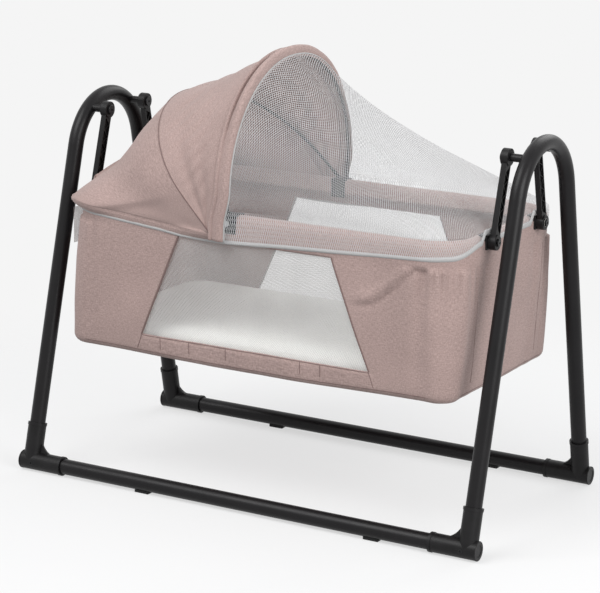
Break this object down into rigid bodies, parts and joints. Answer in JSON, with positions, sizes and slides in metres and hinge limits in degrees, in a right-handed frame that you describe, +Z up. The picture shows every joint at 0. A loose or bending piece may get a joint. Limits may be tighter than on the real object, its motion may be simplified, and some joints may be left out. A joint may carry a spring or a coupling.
{
  "type": "rocking bedside crib",
  "caption": "Bedside crib with a fabric basket hung from swing arms inside a tube stand, with a folding hood, an insect net and net windows",
  "frame": {"origin": "on the floor, under the middle of the stand", "axes": "+X to the foot end, +Y to the far long side, +Z up"},
  "size_m": [1.046, 0.5892, 0.8809],
  "materials": {
    "satin_black_tube": "satin",
    "black_moulding": "matte",
    "black_rubber": "matte",
    "pale_bush": "smooth",
    "zinc_steel": "satin",
    "black_screw": "satin",
    "linen_blend": "woven melange",
    "white_binding": "woven tape",
    "fine_net": "fine knitted net",
    "white_cotton": "quilted cotton",
    "fibre_board": "plain board"
  },
  "bodies": {
    "stand": {"end_frame_head": "satin_black_tube", "end_frame_foot": "satin_black_tube", "side_rail_near": "satin_black_tube", "side_rail_far": "satin_black_tube", "elbow_head_near": "black_moulding", "elbow_head_far": "black_moulding", "elbow_foot_near": "black_moulding", "elbow_foot_far": "black_moulding", "end_caps": "black_moulding", "elbow_screws": "black_screw", "floor_pads": "black_rubber", "pivot_pins": "satin_black_tube", "upper_pivot_screws": "black_screw"},
    "arm_head_near": {"swing_arm_head_near": "black_moulding", "arm_bushes_head_near": "pale_bush"},
    "arm_head_far": {"swing_arm_head_far": "black_moulding", "arm_bushes_head_far": "pale_bush"},
    "arm_foot_near": {"swing_arm_foot_near": "black_moulding", "arm_bushes_foot_near": "pale_bush"},
    "arm_foot_far": {"swing_arm_foot_far": "black_moulding", "arm_bushes_foot_far": "pale_bush"},
    "basket": {"rim_tube_head": "satin_black_tube", "rim_tube_foot": "satin_black_tube", "hanger_bracket_head_near": "black_moulding", "hanger_bracket_head_far": "black_moulding", "hanger_bracket_foot_near": "black_moulding", "hanger_bracket_foot_far": "black_moulding", "window_net_near": "fine_net", "window_net_far": "fine_net", "hood_clip_near": "black_moulding", "hood_clip_far": "black_moulding", "lower_pivot_screws": "black_screw", "rim_joiners": "satin_black_tube", "basket_fabric": "linen_blend", "base_board": "fibre_board", "mattress": "white_cotton", "net_hem": "white_binding", "head_flap": "fine_net", "hood_skirt": "linen_blend", "hood_pins": "zinc_steel", "canopy_rear": "linen_blend", "mosquito_net": "fine_net"},
    "mid_bow": {"mid_bow": "satin_black_tube", "mid_bow_lugs": "black_moulding", "canopy_front": "linen_blend"},
    "front_bow": {"front_bow": "satin_black_tube", "front_bow_lugs": "black_moulding", "front_hem": "linen_blend", "net_edge": "white_binding"}
  },
  "joints": [
    {"name": "swing", "type": "hinge", "parent": "stand", "child": "arm_head_near", "pos_m": [-0.454, -0.071, 0.736], "axis": [1, 0, 0], "range_deg": [-12, 12]},
    {"name": "swing_head_far", "type": "hinge", "parent": "stand", "child": "arm_head_far", "pos_m": [-0.454, 0.071, 0.736], "axis": [1, 0, 0], "range_deg": [-12, 12]},
    {"name": "swing_foot_near", "type": "hinge", "parent": "stand", "child": "arm_foot_near", "pos_m": [0.454, -0.071, 0.736], "axis": [1, 0, 0], "range_deg": [-12, 12]},
    {"name": "swing_foot_far", "type": "hinge", "parent": "stand", "child": "arm_foot_far", "pos_m": [0.454, 0.071, 0.736], "axis": [1, 0, 0], "range_deg": [-12, 12]},
    {"name": "basket_level", "type": "hinge", "parent": "arm_head_near", "child": "basket", "pos_m": [-0.454, -0.1135, 0.5776], "axis": [1, 0, 0], "range_deg": [-8, 8]},
    {"name": "hood_fold", "type": "hinge", "parent": "basket", "child": "mid_bow", "pos_m": [-0.056, 0, 0.574], "axis": [0, -1, 0], "range_deg": [0, 34], "deforming": ["canopy_rear", "mosquito_net"]},
    {"name": "front_fold", "type": "hinge", "parent": "mid_bow", "child": "front_bow", "pos_m": [-0.056, 0, 0.574], "axis": [0, -1, 0], "range_deg": [0, 38], "deforming": ["canopy_front"]}
  ],
  "couplings": [
    {"joint": "swing_head_far", "follows": "swing", "ratio": 1},
    {"joint": "swing_foot_near", "follows": "swing", "ratio": 1},
    {"joint": "swing_foot_far", "follows": "swing", "ratio": 1},
    {"joint": "basket_level", "follows": "swing", "ratio": -0.6258},
    {"joint": "front_fold", "follows": "hood_fold", "ratio": 1.1176}
  ]
}
